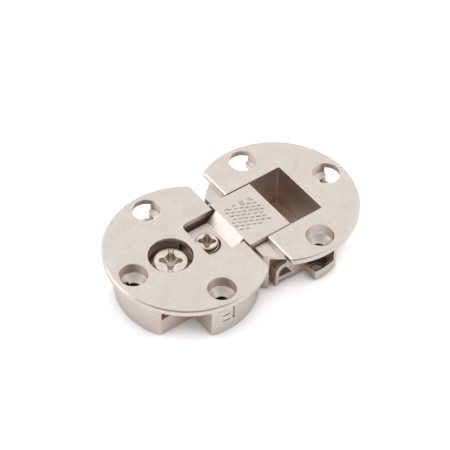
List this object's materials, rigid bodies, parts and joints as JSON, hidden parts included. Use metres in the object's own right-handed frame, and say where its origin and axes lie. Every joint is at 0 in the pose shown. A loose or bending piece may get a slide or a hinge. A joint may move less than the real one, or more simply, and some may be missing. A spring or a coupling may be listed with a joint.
{
  "type": "concealed cup hinge",
  "caption": "Concealed two-cup flap hinge: round nickel-plated cups with straight inner edges, joined by a pivoting arm with clamping and height screws, lying open flat.",
  "frame": {"origin": "centre of the joint line between the two panels, at the height of the cup bottoms", "axes": "+X from the flap cup to the cabinet cup, +Y along the joint line, +Z out of the panels towards the flush faces"},
  "size_m": [0.0666, 0.04, 0.0128],
  "materials": {
    "cast_nickel": "satin nickel plating on zinc die casting",
    "screw_nickel": "bright nickel plating on steel",
    "pin_steel": "plain drawn steel"
  },
  "bodies": {
    "cabinet": {"cabinet_cup": "cast_nickel", "pivot_pin": "pin_steel"},
    "arm": {"hinge_arm": "cast_nickel"},
    "washer": {"clamp_washer": "pin_steel"},
    "flap": {"flap_cup": "cast_nickel"},
    "clamping_screw": {"clamp_screw": "screw_nickel"},
    "adjusting_screw": {"height_screw": "screw_nickel"}
  },
  "joints": [
    {"name": "flap_pivot", "type": "hinge", "parent": "cabinet", "child": "arm", "pos_m": [0.0112, 0, 0.0038], "axis": [0, 1, 0], "range_deg": [0, 90]},
    {"name": "gap_slide", "type": "slide", "parent": "arm", "child": "washer", "axis": [-1, 0, 0], "range_m": [0, 0.002]},
    {"name": "edge_tilt", "type": "hinge", "parent": "washer", "child": "flap", "pos_m": [-0.018, 0, 0.0084], "axis": [0, 1, 0], "range_deg": [0, 2.17]},
    {"name": "clamp_turn", "type": "hinge", "parent": "flap", "child": "clamping_screw", "pos_m": [-0.018, 0, 0.0084], "axis": [0, 0, 1], "range_deg": [0, 360]},
    {"name": "height_turn", "type": "hinge", "parent": "arm", "child": "adjusting_screw", "pos_m": [-0.0075, 0, 0.0084], "axis": [0, 0, -1], "range_deg": [0, 180]}
  ],
  "couplings": [
    {"joint": "height_turn", "follows": "edge_tilt", "ratio": 82.6}
  ]
}
